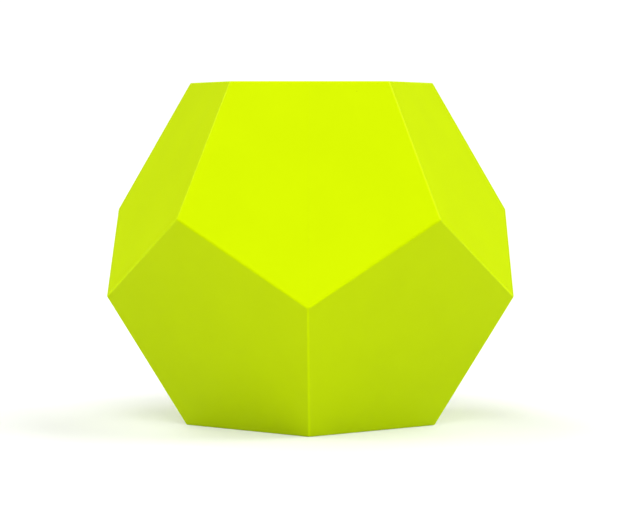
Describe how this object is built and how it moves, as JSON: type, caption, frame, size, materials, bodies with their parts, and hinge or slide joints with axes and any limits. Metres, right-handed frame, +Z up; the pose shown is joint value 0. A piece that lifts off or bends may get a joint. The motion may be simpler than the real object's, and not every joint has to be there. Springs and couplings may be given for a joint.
{
  "type": "dodecahedron twisty puzzle",
  "caption": "Shape-changing twisty puzzle in the form of a plain dodecahedron, whose halves turn about three perpendicular axes round a ball of hidden pieces.",
  "frame": {"origin": "centre of the pentagonal base face that the puzzle stands on", "axes": "+Z up; one corner of the base face points to -Y, the front; the puzzle is mirror symmetric about X = 0"},
  "size_m": [0.0784, 0.0824, 0.0668],
  "materials": {
    "shell_plastic": "satin, fluorescent yellow-green moulded plastic",
    "frame_plastic": "matt, fluorescent yellow-green moulded plastic",
    "mechanism_plastic": "smooth natural low-friction plastic",
    "core_plastic": "smooth black plastic",
    "spring_steel": "drawn spring wire",
    "screw_steel": "bright zinc plated"
  },
  "bodies": {
    "lower_half": {"back_left_frame": "frame_plastic", "back_left_shell": "shell_plastic", "back_right_frame": "frame_plastic", "back_right_shell": "shell_plastic", "bottom_left_frame": "frame_plastic", "bottom_left_shell": "shell_plastic", "bottom_right_frame": "frame_plastic", "bottom_right_shell": "shell_plastic", "core": "core_plastic", "hidden_edge_back": "mechanism_plastic", "hidden_edge_back_left": "mechanism_plastic", "hidden_edge_back_right": "mechanism_plastic", "hidden_edge_bottom": "mechanism_plastic", "hidden_edge_front_left": "mechanism_plastic", "hidden_edge_front_right": "mechanism_plastic", "hidden_edge_lower_left": "mechanism_plastic", "hidden_edge_lower_right": "mechanism_plastic", "lower_corner_screws": "screw_steel", "tension_screw_bottom_back": "screw_steel", "tension_screw_left": "screw_steel", "tension_screw_lower_front": "screw_steel", "tension_screw_right": "screw_steel", "tension_screw_top_front": "screw_steel", "tension_screw_upper_back": "screw_steel", "tension_spring_bottom_back": "spring_steel", "tension_spring_left": "spring_steel", "tension_spring_lower_front": "spring_steel", "tension_spring_right": "spring_steel", "tension_spring_top_front": "spring_steel", "tension_spring_upper_back": "spring_steel", "washer_bottom_back": "screw_steel", "washer_left": "screw_steel", "washer_lower_front": "screw_steel", "washer_right": "screw_steel", "washer_top_front": "screw_steel", "washer_upper_back": "screw_steel"},
    "upper_half": {"front_left_shell": "shell_plastic", "front_left_frame": "frame_plastic", "front_right_shell": "shell_plastic", "front_right_frame": "frame_plastic", "top_left_shell": "shell_plastic", "top_left_frame": "frame_plastic", "top_right_shell": "shell_plastic", "top_right_frame": "frame_plastic", "hidden_edge_front": "mechanism_plastic", "hidden_edge_top": "mechanism_plastic", "hidden_edge_upper_left": "mechanism_plastic", "hidden_edge_upper_right": "mechanism_plastic", "upper_corner_screws": "screw_steel", "retainer_top_front": "mechanism_plastic"},
    "retainer_left": {"retainer_left": "mechanism_plastic"},
    "retainer_right": {"retainer_right": "mechanism_plastic"},
    "retainer_lower_front": {"retainer_lower_front": "mechanism_plastic"},
    "retainer_upper_back": {"retainer_upper_back": "mechanism_plastic"},
    "retainer_bottom_back": {"retainer_bottom_back": "mechanism_plastic"}
  },
  "joints": [
    {"name": "upper_half_turn", "type": "hinge", "parent": "lower_half", "child": "upper_half", "pos_m": [0, 0, 0.03341], "axis": [0, -0.5257, 0.8507], "continuous": true},
    {"name": "retainer_left_spin", "type": "hinge", "parent": "lower_half", "child": "retainer_left", "pos_m": [0, 0, 0.03341], "axis": [-1, 0, 0], "continuous": true},
    {"name": "retainer_right_spin", "type": "hinge", "parent": "lower_half", "child": "retainer_right", "pos_m": [0, 0, 0.03341], "axis": [1, 0, 0], "continuous": true},
    {"name": "retainer_lower_front_spin", "type": "hinge", "parent": "lower_half", "child": "retainer_lower_front", "pos_m": [0, 0, 0.03341], "axis": [0, -0.8507, -0.5257], "continuous": true},
    {"name": "retainer_upper_back_spin", "type": "hinge", "parent": "lower_half", "child": "retainer_upper_back", "pos_m": [0, 0, 0.03341], "axis": [0, 0.8507, 0.5257], "continuous": true},
    {"name": "retainer_bottom_back_spin", "type": "hinge", "parent": "lower_half", "child": "retainer_bottom_back", "pos_m": [0, 0, 0.03341], "axis": [0, 0.5257, -0.8507], "continuous": true}
  ]
}
